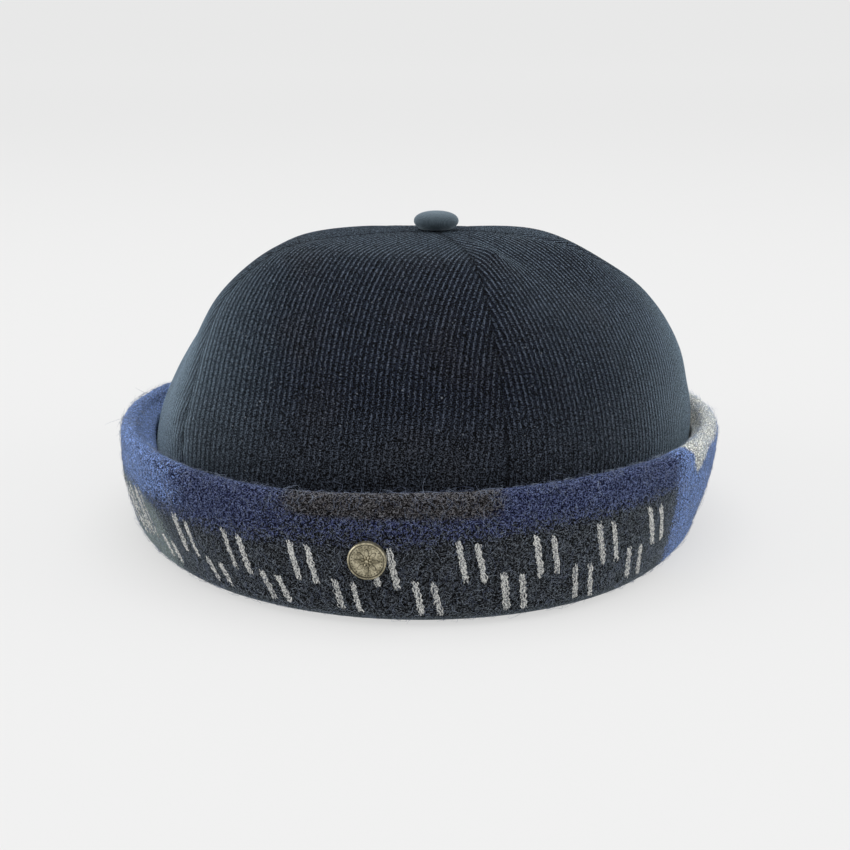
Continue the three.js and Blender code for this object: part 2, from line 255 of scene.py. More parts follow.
# painted sheen: the pale slate laid on the ribs of the crown's left side
LEFT_PAINTED_SHEEN = (0.060, 0.082, 0.104)
LOW_PILE = (0.024, 0.028, 0.034)
LINT = (0.20, 0.22, 0.25)
PILE_SHEEN = (0.61, 0.82, 1.0, 1)
CHARCOAL = (0.0130, 0.0142, 0.0160)
DYES = [
    ("green", (0.215, 0.255, 0.220)),
    ("blue", (0.0125, 0.0175, 0.0680)),
    # sky: on the right partly a paler blue dye, and at the far left and far right a painted sheen
    ("sky", (0.1500, 0.2400, 0.5000)),
    ("brown", (0.0200, 0.0170, 0.0160)),
    ("beige", (0.80, 0.79, 0.72)),
]
FIBRE_TIPS = (0.24, 0.26, 0.31)
TWILL_LINES = (0.05, 0.055, 0.05)
PLAIN_SHEEN = (0.60, 0.73, 0.83, 1)
BROWN_SHEEN = (0.70, 0.70, 0.73, 1)
BLUE_SHEEN = (0.42, 0.58, 1.0, 1)
YARN_SHADOW = (0.17, 0.18, 0.19)
YARN_LIGHT = (0.82, 0.82, 0.79)
HAIR_DARK = (0.05, 0.07, 0.15)
HAIR_PALE = (0.48, 0.56, 0.70)
SLATE_DARK = (0.020, 0.030, 0.040)
SLATE_PALE = (0.062, 0.086, 0.104)
SLATE_SHEEN = (0.62, 0.78, 0.90, 1)
BRASS_DARK = (0.20, 0.18, 0.12)
BRASS_PALE = (0.55, 0.50, 0.36)
BRASS_HOLLOW = (0.035, 0.032, 0.026)
FLOOR_COLOUR = (0.20, 0.20, 0.20)

SPECK = 2300.0              # rate of the finest speckle of both cloths, in a metre
# The ways in which the wool's coarse fibres lie, as turns in radians, each with a seed
FIBRE_WAYS = [(0.75, 3.0), (-0.75, 9.0), (1.5, 17.0), (0.1, 29.0), (0.4, 37.0), (-0.35, 53.0)]

# The picture, in metres
FLOOR_GLOW = 0.585
SKY_COLOUR = (0.985, 0.99, 1.0, 1)
SKY_RISE = {"From Min": 0.1, "From Max": 0.8, "To Min": 0.42, "To Max": 1.0}
LAMPS = [
    dict(name="above", place=(0.0, 0.05, 1.6), size=1.6, power=14.0),
    dict(name="left", place=(-1.5, -0.1, 0.5), size=1.3, power=10.0),
    dict(name="right", place=(1.5, -0.1, 0.5), size=1.3, power=8.5),
]
LAMP_AIM = (0, 0, 0.04)
CAMERA = dict(place=(-0.00105, -0.48344, 0.17863), dip=0.2967, roll=-0.0063, lens=60.29)

dice = np.random.default_rng(7)


# Shapes


def mix(a, b, share):
    return a + (b - a) * share


def step(value, low, high):
    share = np.clip((value - low) / (high - low), 0, 1)
    return share * share * (3 - 2 * share)


def between(value, low, high, soft):
    return step(value, low - soft, low + soft) * (1 - step(value, high - soft, high + soft))


def spline(a, b, c, d, t):
    """One smooth value between four neighbours, at a share t from b to c."""
    into, out = (c - a) / 2, (d - b) / 2
    return (((2 * b - 2 * c + into + out) * t + 3 * c - 3 * b - 2 * into - out) * t + into) * t + b


def level(column, t):
    """A column of LEVELS at a height share t, 0 at the lower edge and 1 at the button."""
    values = np.array([row[column] for row in LEVELS], float)
    last = len(values) - 1
    place = np.clip(t, 0, 1) * last
    row = np.minimum(np.floor(place).astype(int), last - 1)
    near = [values[np.clip(row + k, 0, last)] for k in (-1, 0, 1, 2)]
    return spline(*near, place - row)


def cuff_value(column, azimuth):
    """A column of CUFF at any azimuth."""
    values = np.array([row[column] for row in CUFF], float)
    place = (np.asarray(azimuth, float) + 180) / (360 / len(values))
    row = np.floor(place).astype(int)
    near = [values[(row + k) % len(values)] for k in (-1, 0, 1, 2)]
    return spline(*near, place - row)


def seam_azimuth(seam, t):
    return mix(SEAMS[seam]["bottom"], SEAMS[seam]["top"], level("turn", t))


def crown_point(panel, s, t, folded=True):
    """The crown's outer surface, s from -1 to 1 across a panel and t from 0 to 1 up it."""
    start, end = seam_azimuth(panel["start"], t), seam_azimuth(panel["end"], t)
    end = np.where(end < start, end + 360, end)
    azimuth = np.radians(mix(start, end, (s + 1) / 2))
    sideways, forward = np.sin(azimuth), np.cos(azimuth)
    across = np.where(sideways > 0, level("right", t), level("left", t)) * sideways ** 2
    along = np.where(forward > 0, level("front", t), level("back", t)) * forward ** 2
    stand = np.where(s < 0, SEAMS[panel["start"]]["corner"], SEAMS[panel["end"]]["corner"])
    corner = stand * level("corner", t) * np.sin(np.pi / 2 * np.abs(s)) ** 4
    puff = panel["puff"] * level("puff", t) * np.cos(np.pi / 2 * s) ** 2
    flatness = level("puff", t)
    half_width = level("front", t) * np.radians(end - start) / 2
    inset = (1 - np.abs(s)) * half_width
    depth = np.where(s < 0, SEAMS[panel["start"]]["dip"], SEAMS[panel["end"]]["dip"])
    dip = depth * np.exp(-(inset / SEAM_WIDTH) ** 2) * (1 - 0.7 * step(t, 0.7, 0.9))
    if folded and panel["name"] == FOLD["panel"]:
        stands = step(t, FOLD["low"], FOLD["low"] + 0.1)
        stands = stands * (1 - step(t, FOLD["high"] - 0.08, FOLD["high"]))
        beside = FOLD["place"] + 2.2 * FOLD["width"]
        ridge = np.exp(-((s - FOLD["place"]) / FOLD["width"]) ** 2)
        hollow = np.exp(-((s - beside) / (1.4 * FOLD["width"])) ** 2)
        puff = puff + FOLD["rise"] * stands * (ridge - 0.5 * hollow)
    side = {panel["start"]: -1, panel["end"]: 1}.get("left", 0)
    if side:
        creased = np.exp(-inset / PUCKER_REACH) * (s * side > 0) * between(t, 0.12, 0.3, 0.05)
        crease = np.sin(2 * np.pi * (level("z", t) + side * inset * 0.8) / PUCKER_PITCH)
        corner = corner + PUCKER_RISE * creased * crease
    radius = across + along + corner + (puff - dip) * (1 - flatness)
    height = level("z", t) + (puff - dip) * flatness
    lean = (level("z", t) / LEVELS[-1]["z"]) ** 2
    x = APEX[0] * lean + radius * sideways
    y = APEX[1] * lean - radius * forward
    return np.stack([x, y, height], -1)


def unit(v):
    return v / np.linalg.norm(v, axis=-1, keepdims=True)


def crown_normal(panel, s, t, nudge=0.006):
    across = crown_point(panel, s + nudge, t) - crown_point(panel, s - nudge, t)
    above, below = np.minimum(t + nudge, 1), np.maximum(t - nudge, 0)
    up = crown_point(panel, s, above) - crown_point(panel, s, below)
    return unit(np.cross(across, up))


def wave_noise(x, y, seed, octaves=3):
    """A smooth wandering value of about -1 to 1 over two directions, from a few crossed waves."""
    rolls = np.random.default_rng(seed)
    total = np.zeros(np.broadcast(x, y).shape)
    for octave in range(octaves):
        for _ in range(4):
            angle, phase = rolls.uniform(0, 2 * np.pi, 2)
            rate = 2.0 ** octave * rolls.uniform(0.7, 1.3)
            wave = np.sin(rate * (x * np.cos(angle) + y * np.sin(angle)) + phase)
            total = total + wave / 2.0 ** octave
    return total / 4


# Objects


def only(obj):
    """Selects one object alone and makes it the active one."""
    bpy.ops.object.select_all(action="DESELECT")
    obj.select_set(True)
    bpy.context.view_layer.objects.active = obj
    return obj


def added(name):
    """Names the primitive that was just added."""
    obj = bpy.context.view_layer.objects.active
    obj.name = name
    obj.data.name = name
    return obj


def grid(name, columns, rows):
    """A grid primitive, with the column and row of each of its vertices."""
    bpy.ops.object.select_all(action="DESELECT")
    bpy.ops.mesh.primitive_grid_add(x_subdivisions=columns - 1, y_subdivisions=rows - 1, size=2)
    obj = added(name)
    flat = vertices(obj)
    column = np.rint((flat[:, 0] + 1) / 2 * (columns - 1)).astype(int)
    row = np.rint((flat[:, 1] + 1) / 2 * (rows - 1)).astype(int)
    return obj, column, row


def vertices(obj):
    places = np.empty(len(obj.data.vertices) * 3)
    obj.data.vertices.foreach_get("co", places)
    return places.reshape(-1, 3)


def place_vertices(obj, places):
    obj.data.vertices.foreach_set("co", np.asarray(places, float).ravel())
    obj.data.update()


def lay_uv(obj, per_vertex):
    """Gives the cloth's own directions as a UV map, from one pair of numbers for each vertex."""
    layer = obj.data.uv_layers.get("cloth") or obj.data.uv_layers.new(name="cloth")
    corners = np.empty(len(obj.data.loops), int)
    obj.data.loops.foreach_get("vertex_index", corners)
    layer.data.foreach_set("uv", np.asarray(per_vertex, float)[corners].ravel())
    for other in [u for u in obj.data.uv_layers if u.name != "cloth"]:
        obj.data.uv_layers.remove(other)


def lay_tone(obj, name, per_vertex):
    """Stores one number for each vertex under a name that the materials read."""
    layer = obj.data.attributes.new(name, "FLOAT", "POINT")
    layer.data.foreach_set("value", np.asarray(per_vertex, float).ravel())


def add_modifier(obj, kind, **settings):
    only(obj)
    modifier = obj.modifiers.new(kind.title(), kind)
    for name, value in settings.items():
        setattr(modifier, name, value)
    bpy.ops.object.modifier_apply(modifier=modifier.name)
    return obj


def finish_piece(obj, material, nodes=()):
    """Brings a piece to metres and to its place, and gives it its finish and its body."""
    obj.data.transform(Matrix.Translation(Vector(CENTRE * MM)) @ Matrix.Scale(MM, 4))
    obj.data.materials.clear()
    obj.data.materials.append(material)
    only(obj)
    bpy.ops.object.shade_smooth()
    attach(obj, "root")
    if nodes:
        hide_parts(*nodes)
    return obj


def pick(obj, kind, wanted):
    """In edit mode, selects the faces or edges that are wanted, and nothing else."""
    bpy.ops.mesh.select_mode(type="FACE" if kind == "faces" else "EDGE")
    bpy.ops.mesh.select_all(action="DESELECT")
    body = bmesh.from_edit_mesh(obj.data)
    for element in getattr(body, kind):
        if wanted(element):
            element.select_set(True)
    bmesh.update_edit_mesh(obj.data)


def is_lid(end):
    """True for the flat lid at one end of a cylinder, 1 for the upper and -1 for the lower."""
    return lambda face: face.normal.z * end > 0.9 and len(face.verts) > 8


def is_upright(edge):
    return abs(edge.verts[0].co.z - edge.verts[1].co.z) > 0.5


def repeated(name, pattern, moves, tone=None):
    """Copies of one small pattern, each bent into its place by its own row of moves, as one mesh."""
    places = vertices(pattern)
    faces = [tuple(p.vertices) for p in pattern.data.polygons]
    count = len(places)
    mesh = bpy.data.meshes.new(name)
    everywhere = np.concatenate([move(places) for move in moves])
    all_faces = [tuple(v + k * count for v in face) for k in range(len(moves)) for face in faces]
    mesh.from_pydata(everywhere.tolist(), [], all_faces)
    obj = bpy.data.objects.new(name, mesh)
    bpy.context.scene.collection.objects.link(obj)
    bpy.data.objects.remove(pattern)
    if tone is not None:
        lay_tone(obj, "tone", np.repeat(tone, count))
    return obj


# Materials


class Value:
    """A socket of a material, so that sums on it can be written as they are said."""

    def __init__(self, paint, socket):
        self.paint, self.socket = paint, socket

    def sum(self, operation, *others):
        inputs = dict(enumerate((self, *others)))
        return self.paint.node("ShaderNodeMath", dict(operation=operation), inputs)

    def __add__(self, other):
        return self.sum("ADD", other)

    def __sub__(self, other):
        return self.sum("SUBTRACT", other)

    def __mul__(self, other):
        return self.sum("MULTIPLY", other)

    def __pow__(self, other):
        return self.sum("POWER", other)

    def __rsub__(self, other):
        return self.paint.node("ShaderNodeMath", dict(operation="SUBTRACT"), {0: other, 1: self})

    __radd__ = __add__
    __rmul__ = __mul__

    def most(self, limit):
        return self.sum("MINIMUM", limit)

    def sine(self):
        return self.sum("SINE")

    def part(self):
        return self.sum("FRACT")


class Paint:
    """A new material with one Principled shader, and short ways to add nodes to it."""

    def __init__(self, name, **fixed):
        self.material = bpy.data.materials.new(name)
        self.material.use_nodes = True
        self.tree = self.material.node_tree
        self.shader = self.tree.nodes["Principled BSDF"]
        self.surface = Value(self, self.shader.outputs[0])
        self.set(self.shader, fixed)

    def set(self, shader, fixed):
        for name, value in fixed.items():
            socket = "Specular IOR Level" if name == "specular" else name.replace("_", " ").title()
            shader.inputs[socket].default_value = value

    def node(self, kind, settings=None, inputs=None, output=0):
        """Adds a node: its settings first, then the values or links of its sockets."""
        made = self.tree.nodes.new(kind)
        for name, value in (settings or {}).items():
            setattr(made, name, value)
        for name, value in (inputs or {}).items():
            self.join(value, made.inputs[name])
        return Value(self, made.outputs[output])

    def join(self, value, socket):
        if isinstance(value, Value):
            self.tree.links.new(value.socket, socket)
        else:
            socket.default_value = value

    def feed(self, **sockets):
        for name, value in sockets.items():
            self.join(value, self.shader.inputs[name.replace("_", " ").title()])
        return self

    def second(self, share, **fixed):
        """Mixes in a shader with the same colour and relief and other fixed values."""
        twin = self.tree.nodes.new("ShaderNodeBsdfPrincipled")
        self.set(twin, fixed)
        for name in ("Base Color", "Normal"):
            self.tree.links.new(self.shader.inputs[name].links[0].from_socket, twin.inputs[name])
        ends = {0: share, 1: self.surface, 2: Value(self, twin.outputs[0])}
        self.surface = self.node("ShaderNodeMixShader", None, ends)
        self.tree.links.new(self.surface.socket, self.tree.nodes["Material Output"].inputs["Surface"])
        return self

    def axes(self, vector):
        return [self.node("ShaderNodeSeparateXYZ", None, {0: vector}, k) for k in range(3)]

    def vector(self, x, y, z=0.0):
        return self.node("ShaderNodeCombineXYZ", None, {0: x, 1: y, 2: z})

    def noise(self, vector, scale, detail=2.0, roughness=0.5):
        inputs = {"Vector": vector, "Scale": scale, "Detail": detail, "Roughness": roughness}
        return self.node("ShaderNodeTexNoise", None, inputs, "Fac")

    def ease(self, value, low, high):
        """0 below low, 1 above high and smooth between them."""
        inputs = {"Value": value, "From Min": low, "From Max": high}
        return self.node("ShaderNodeMapRange", dict(interpolation_type="SMOOTHSTEP"), inputs)

    def blend(self, a, b, share, how="MIX"):
        """One colour over another."""
        settings = dict(data_type="RGBA", blend_type=how)
        a, b = [c if isinstance(c, Value) else (*c, 1.0) for c in (a, b)]
        return self.node("ShaderNodeMix", settings, {0: share, 6: a, 7: b}, 2)

    def shade(self, colour, amount):
        """A colour made lighter or darker by an amount that varies over the surface."""
        grey = self.vector(amount, amount, amount)
        return self.blend(colour, grey, 1.0, "MULTIPLY")

    def bump(self, height, strength, distance):
        inputs = {"Strength": strength, "Distance": distance, "Height": height}
        return self.node("ShaderNodeBump", None, inputs)

    def cloth(self):
        """The cloth's own two directions, in millimetres."""
        return self.axes(self.node("ShaderNodeUVMap", dict(uv_map="cloth")))[:2]

    def place(self):
        return self.node("ShaderNodeTexCoord", None, None, "Object")

    def grazing(self, low, high):
        """0 where the surface faces the eye, 1 where it is seen along its pile."""
        return self.ease(self.node("ShaderNodeLayerWeight", None, {"Blend": 0.5}, "Facing"), low, high)

    def attribute(self, name):
        return self.node("ShaderNodeAttribute", dict(attribute_name=name), None, "Fac")


def corduroy():
    """Near-black navy cotton pile in ribs: dark furrows, a thin broken line of tufts on each rib,
    painted brighter toward the top as a painted highlight, painted lighter on the left as painted
    sheen, and darkened along each seam as painted shade.
    """
    paint = Paint("corduroy_pile", roughness=0.9, specular=0.05)
    across, up = paint.cloth()
    rib = (across.part() * math.pi).sine()
    tuft = paint.noise(paint.vector(across * 2.2, up * 2.4), 1.0, 2.0, 0.7)
    speck = paint.noise(paint.place(), SPECK, 1.0, 0.6)
    tone = paint.noise(paint.place(), 38.0, 2.0)
    top = paint.ease(up, 62.0, 105.0)
    # Painted highlight: toward the top the tuft lines grow thinner and are painted brighter, where the
    # ribs catch grazing light.
    tufts_and_highlight = (rib ** (5.0 + top * 5.0)) * paint.ease(tuft, 0.30, 0.62) * (1 + top * 1.2)
    colour = paint.blend(FURROW, TUFT_AND_HIGHLIGHT, tufts_and_highlight)
    warm = paint.ease(tone, 0.45, 0.7)
    colour = paint.blend(colour, WARM_PILE, warm * rib * 0.45)
    # Painted sheen: the crown's left side is painted a lighter slate and its speckle evened out, as it
    # glows at a glancing angle.
    aside = paint.axes(paint.place())[0] * -1000.0
    left = paint.ease(aside, 34.0, 72.0)
    colour = paint.blend(colour, LEFT_PAINTED_SHEEN, left * (rib ** 2.0 * 0.5 + 0.12))
    low = 1 - paint.ease(up, 36.0, 64.0)
    colour = paint.blend(colour, LOW_PILE, low * 0.40)
    grain = paint.ease(speck, 0.44, 0.62) * 2.7 + 0.06
    colour = paint.shade(colour, grain * (1 - left * 0.45) + left * 0.45)
    lint = paint.ease(paint.noise(paint.place(), 1300.0, 0.0), 0.80, 0.86)
    colour = paint.blend(colour, LINT, lint * 0.6)
    pile = paint.bump(tuft * 0.5 + speck * 0.8, 0.9, 0.0005)
    seam = paint.attribute("seam")
    # Painted shade: the colour is darkened along each seam, standing for the shade in its groove.
    paint.feed(base_color=paint.shade(colour, 1 - seam * 0.6), normal=pile)
    bloom = dict(roughness=0.9, specular=0.1, sheen_weight=1.0, sheen_roughness=0.33)
    lit = paint.ease(speck * 0.8 + tuft * 0.2, 0.44, 0.57)
    right = paint.ease(aside, -16.0, -24.0) * paint.ease(aside, -70.0, -44.0)
    share = rib ** (3.0 + top * 3.0) * (0.85 - top * 0.25) + 0.09 + top * 0.05
    share = share * (lit * 0.95 + 0.15)
    share = share * (1 + right * (rib ** 2.0 * 1.05 - 0.40))
    veil = (paint.grazing(0.05, 0.70) * 0.85 + left * (rib ** 3.0 * 0.6 + 0.35)).most(1.0)
    share = share + (1 - share) * veil * (1 - top) * (lit * 0.25 + 0.6)
    share = share.most(1.0) * (1 - seam * (0.30 + top * 0.3))
    return paint.second(share, sheen_tint=PILE_SHEEN, **bloom).material


def wool():
    """Brushed wool: charcoal with a royal blue band, and coarse pale fibres lying every way."""
    paint = Paint("brushed_wool", roughness=0.95, specular=0.04)
    across, up = paint.cloth()
    speck = paint.noise(paint.place(), SPECK, 1.0, 0.6)
    blotch = paint.noise(paint.vector(across * 0.7, up * 0.7), 1.0, 2.0)
    dither = (speck - 0.5) * 3.0 + (blotch - 0.5) * 2.2
    colour = CHARCOAL
    amounts = {}
    for name, dye in DYES:
        zone = paint.attribute(name)
        amounts[name] = paint.ease(zone + dither * (zone * (1 - zone) * 4.0), 0.20, 0.80)
        colour = paint.blend(colour, dye, amounts[name])
    fibres = 0.0
    for turn, seed in FIBRE_WAYS:
        run = across * math.cos(turn) + up * math.sin(turn)
        side = up * math.cos(turn) - across * math.sin(turn)
        streak = paint.noise(paint.vector(run * 0.55, side * 2.7, seed), 1.0, 1.0, 0.6)
        fibres = paint.ease(streak, 0.65, 0.72) + fibres
    light = (amounts["beige"] + amounts["green"]).most(1.0)
    fuzz = (paint.ease(speck, 0.49, 0.59) * 0.8 + fibres * 0.75).most(1.0)
    deep = paint.shade(colour, 0.24 + light * 0.16)
    dyed = amounts["blue"] * 0.35 + amounts["brown"] * 0.25
    strands = fibres.most(1.0) * (1 - light)
    tipped = (1 - light) * (1 - dyed) * (strands * 0.16 + 0.15)
    pale = paint.blend(colour, FIBRE_TIPS, tipped)
    glint = 1.3 + amounts["blue"] * 0.95 + amounts["brown"] * 0.5 + strands
    colour = paint.blend(deep, paint.shade(pale, glint), fuzz)
    slant = paint.vector(across * 0.6 + up * 0.3, (up - across * 0.5) * 2.4, 41.0)
    twill = paint.ease(paint.noise(slant, 1.0, 1.0, 0.6), 0.55, 0.59)
    colour = paint.blend(colour, TWILL_LINES, twill * light * 0.85)
    nap = paint.bump(fibres * 0.5 + speck * 1.2, 1.0, 0.0008)
    paint.feed(base_color=colour, normal=nap)
    bloom = fuzz + (1 - fuzz) * paint.grazing(0.30, 0.80) * paint.attribute("hazy") * 0.58
    haze = dict(roughness=0.95, specular=0.08, sheen_weight=1.0, sheen_roughness=0.36)
    brown = amounts["brown"]
    blue = amounts["blue"] * (1 - amounts["beige"]) * (1 - brown)
    plain = (1 - blue) * (1 - brown) * (0.66 + light * 0.34)
    paint.second(bloom * plain, sheen_tint=PLAIN_SHEEN, **haze)
    paint.second(bloom * brown * 0.85, sheen_tint=BROWN_SHEEN, **haze)
    return paint.second(bloom * blue, sheen_tint=BLUE_SHEEN, **haze).material


def yarn():
    """The off-white yarn of the dashes."""
    paint = Paint("white_yarn", roughness=0.9, sheen_weight=0.2)
    speck = paint.noise(paint.place(), 2100.0, 1.0, 0.6)
    colour = paint.blend(YARN_SHADOW, YARN_LIGHT, paint.ease(speck, 0.37, 0.56))
    nap = paint.bump(speck, 1.0, 0.0005)
    return paint.feed(base_color=colour, normal=nap).material


def fibre():
    """Loose fibres that stand off the wool, from blue-grey to nearly white."""
    paint = Paint("loose_fibre", roughness=0.8)
    colour = paint.blend(HAIR_DARK, HAIR_PALE, paint.attribute("tone"))
    return paint.feed(base_color=colour).material


def button_cloth():
    """Plain slate cloth, finely woven."""
    sheen = dict(sheen_weight=0.5, sheen_roughness=0.45, sheen_tint=SLATE_SHEEN)
    paint = Paint("button_cloth", roughness=0.85, specular=0.2, **sheen)
    x, y = paint.axes(paint.place())[:2]
    threads = (x * 9000.0).sine() * (y * 9000.0).sine()
    speck = paint.noise(paint.place(), 1400.0, 2.0)
    colour = paint.blend(SLATE_DARK, SLATE_PALE, speck)
    colour = paint.shade(colour, threads * 0.15 + 0.95)
    weave = paint.bump(threads * 0.5 + speck * 0.5, 0.4, 0.0003)
    return paint.feed(base_color=colour, normal=weave).material


def badge_metal():
    """Aged pale brass, darker in its hollows."""
    paint = Paint("aged_badge_metal", metallic=1.0)
    blotch = paint.noise(paint.place(), 420.0, 3.0)
    fine = paint.noise(paint.place(), 2600.0, 2.0)
    hollow = paint.attribute("hollow")
    patina = paint.ease(blotch * 0.5 + fine * 0.5, 0.40, 0.62)
    colour = paint.blend(BRASS_DARK, BRASS_PALE, patina)
    colour = paint.blend(colour, BRASS_HOLLOW, hollow * (0.6 + fine * 0.4))
    rough = 0.34 + fine * 0.14 + hollow * 0.3
    grain = paint.bump(fine, 0.25, 0.0002)
    return paint.feed(base_color=colour, roughness=rough, normal=grain).material


def glowing_paper():
    """The floor: part of its light is its own, so that shadows on it stay faint."""
    paint = Paint("pale_floor", roughness=0.9, specular=0.0, emission_strength=FLOOR_GLOW)
    # Painted light: the far floor glows a little brighter, standing for light that falls on the paper
    # far behind.
    far = paint.ease(paint.axes(paint.place())[1], 0.5, 3.0)
    glow = paint.blend((1.0, 1.0, 0.995), (1.09, 1.09, 1.085), far)
    return paint.feed(base_color=(*FLOOR_COLOUR, 1), emission_color=glow).material


# The crown


def corduroy_panel(panel, material):
    """One panel, with its ribs as real relief. Each column of the grid runs along a rib."""
    shares_across = np.linspace(-SEAM_REACH, SEAM_REACH, MEASURES_ACROSS)
    s, t = np.meshgrid(shares_across, np.linspace(0, 1, MEASURES_UP))
    middle = MEASURES_ACROSS // 2
    surface = crown_point(panel, s, t, folded=False)
    steps_across = np.linalg.norm(np.diff(surface, axis=1), axis=2)
    across = np.concatenate([np.zeros((len(s), 1)), np.cumsum(steps_across, 1)], 1)
    width = across[:, -1]
    across = across - across[:, middle][:, None]
    steps_up = np.linalg.norm(np.diff(surface, axis=0), axis=2)
    up = np.concatenate([np.zeros((1, s.shape[1])), np.cumsum(steps_up, 0)], 0)
    turn = math.radians(panel["grain"])
    wale = (across * math.cos(turn) + up * math.sin(turn)) / WALE_PITCH
    edge = np.minimum(1 + SEAM_LAP / width, SEAM_REACH)
    low = np.array([np.interp(-edge[k], s[k], wale[k]) for k in range(len(s))])
    high = np.array([np.interp(edge[k], s[k], wale[k]) for k in range(len(s))])

    first, last = math.floor(low.min()), math.ceil(high.max())
    places = np.array([whole + share for whole in range(first, last) for share in WALE_SAMPLES])
    places = places[(places > low.min() + 0.02) & (places < high.max() - 0.02)]
    heights = t[:, 0]
    rise = up[:, middle]
    found_s = np.zeros((PANEL_ROWS, len(places)))
    found_t = np.zeros((PANEL_ROWS, len(places)))
    for column, place in enumerate(places):
        inside = np.nonzero((low <= place) & (place <= high))[0]
        bottom, top = inside[0], inside[-1]
        t0, t1 = heights[bottom], heights[top]
        if bottom > 0:
            side = high if place > high[bottom - 1] else low
            gap = place - side[bottom - 1], place - side[bottom]
            t0 = mix(heights[bottom - 1], t0, gap[0] / (gap[0] - gap[1]))
        if top < len(heights) - 1:
            side = high if place > high[top + 1] else low
            gap = place - side[top], place - side[top + 1]
            t1 = mix(t1, heights[top + 1], gap[0] / (gap[0] - gap[1]))
        rises = np.linspace(np.interp(t0, heights, rise), np.interp(t1, heights, rise), PANEL_ROWS)
        at = np.interp(rises, rise, heights)
        rows = np.clip(np.searchsorted(heights, at) - 1, 0, len(heights) - 2)
        share = (at - heights[rows]) / (heights[rows + 1] - heights[rows])
        under = np.array([np.interp(place, wale[r], s[r]) for r in rows])
        over = np.array([np.interp(place, wale[r + 1], s[r + 1]) for r in rows])
        limit = np.interp(at, heights, edge)
        found_s[:, column] = np.clip(mix(under, over, share), -limit, limit)
        found_t[:, column] = at

    point = crown_point(panel, found_s, found_t)
    normal = crown_normal(panel, found_s, found_t)
    phase = places % 1
    climb = np.interp(found_t, heights, rise)
    wander = 0.85 + 0.15 * wave_noise(places[None, :] * 0.9, climb * 0.35, 5)
    round_rib = (np.abs(np.sin(np.pi * phase)) ** 0.8)[None, :]
    relief = WALE_RISE * round_rib * wander - WALE_RISE * 0.8
    shape = point + normal * relief[..., None]

    obj, column, row = grid("corduroy_" + panel["name"], len(places), PANEL_ROWS)
    place_vertices(obj, shape[row, column])
    lay_uv(obj, np.stack([places[column], climb[row, column]], 1))
    # seam: 1 at a seam and fading away from it, for the painted shade line along the seams
    half_width = np.interp(found_t, heights, width) / 2
    seam = np.exp(-((1 - np.abs(found_s)) * half_width / SEAM_SHADE) ** 2)
    lay_tone(obj, "seam", seam[row, column])
    add_modifier(obj, "SOLIDIFY", thickness=CLOTH - WALE_RISE, offset=-1.0, use_even_offset=False)
    finish_piece(obj, material, ["crown_panel_" + panel["name"]])
    bpy.ops.object.shade_smooth_by_angle(angle=math.radians(50))
    return obj


def covered_button(material):
    """A disc of cloth drawn over a button: a domed face, a rounded edge and a tucked-in underside."""
    bpy.ops.object.select_all(action="DESELECT")
    bpy.ops.mesh.primitive_cylinder_add(vertices=48, radius=BUTTON_RADIUS, depth=BUTTON_HEIGHT)
    obj = added("covered_button")
    bpy.ops.object.mode_set(mode="EDIT")
    for end, widths in BUTTON_RINGS.items():
        for width in widths:
            pick(obj, "faces", is_lid(end))
            bpy.ops.mesh.inset(thickness=width, depth=0)
    pick(obj, "edges", is_upright)
    bpy.ops.mesh.subdivide(number_cuts=7)
    bpy.ops.object.mode_set(mode="OBJECT")
    shape = vertices(obj)
    share = np.hypot(shape[:, 0], shape[:, 1]) / BUTTON_RADIUS
    height = shape[:, 2] / BUTTON_HEIGHT + 0.5
    upper, lower = height > 0.99, height < 0.01
    shoulder = BUTTON_HEIGHT * 0.5
    bulge = np.sqrt(np.clip(1 - (share * 0.99) ** 2.1, 0, 1))
    dome = shoulder + (BUTTON_HEIGHT + 0.25 - shoulder) * bulge
    lift = np.where(upper, dome, np.where(lower, 0.3 * (share - 1), height * shoulder))
    waist = 0.80 + 0.215 * np.sin(np.pi * 0.5 * np.clip(height * 1.15, 0, 1))
    turn = np.arctan2(shape[:, 1], shape[:, 0])
    tuck = 1 + 0.012 * np.sin(turn * 13) * np.clip(1 - height, 0, 1)
    pull = np.where(upper, 1.0, np.where(lower, 0.8, waist * tuck))
    place_vertices(obj, np.stack([shape[:, 0] * pull, shape[:, 1] * pull, lift], 1))
    add_modifier(obj, "SUBSURF", levels=1, render_levels=1)
    seat = np.array([APEX[0] + BUTTON_SHIFT, APEX[1], LEVELS[-1]["z"] + BUTTON_LIFT])
    place_vertices(obj, vertices(obj) + seat)
    return finish_piece(obj, material, ["top_button"])


# The cuff


REACH_SHARES = np.linspace(0, 0.3, 13)
REACH_TURNS = np.arange(-180, 181)


def crown_rings():
    """The crown's outer radius, with a row for each height share and a column for each degree."""
    s = np.linspace(-1, 1, 41)
    rings = []
    for t in REACH_SHARES:
        ring = np.concatenate([crown_point(panel, s, np.full(len(s), t)) for panel in PANELS])
        turn = np.degrees(np.arctan2(ring[:, 0], -ring[:, 1]))
        order = np.argsort(turn)
        radius = np.hypot(ring[:, 0], ring[:, 1])
        rings.append(np.interp(REACH_TURNS, turn[order], radius[order], period=360))
    return np.array(rings)


def crown_reach(azimuth, height):
    """The crown's outer radius at azimuths and at heights inside the cuff, one row for each height."""
    rings = np.array([np.interp(azimuth, REACH_TURNS, ring) for ring in RINGS])
    place = np.interp(height, level("z", REACH_SHARES), np.arange(len(REACH_SHARES)))
    row = np.minimum(place.astype(int), len(REACH_SHARES) - 2)
    column = np.broadcast_to(np.arange(len(azimuth)), row.shape)
    return mix(rings[row, column], rings[row + 1, column], place - row)


RINGS = crown_rings()


def bowed(fold, rim, share):
    """The radius of the cuff's outer side, at a share of the way from its fold to its rim."""
    return mix(fold, rim, share) + CUFF_BELLY * np.sin(np.pi * share)


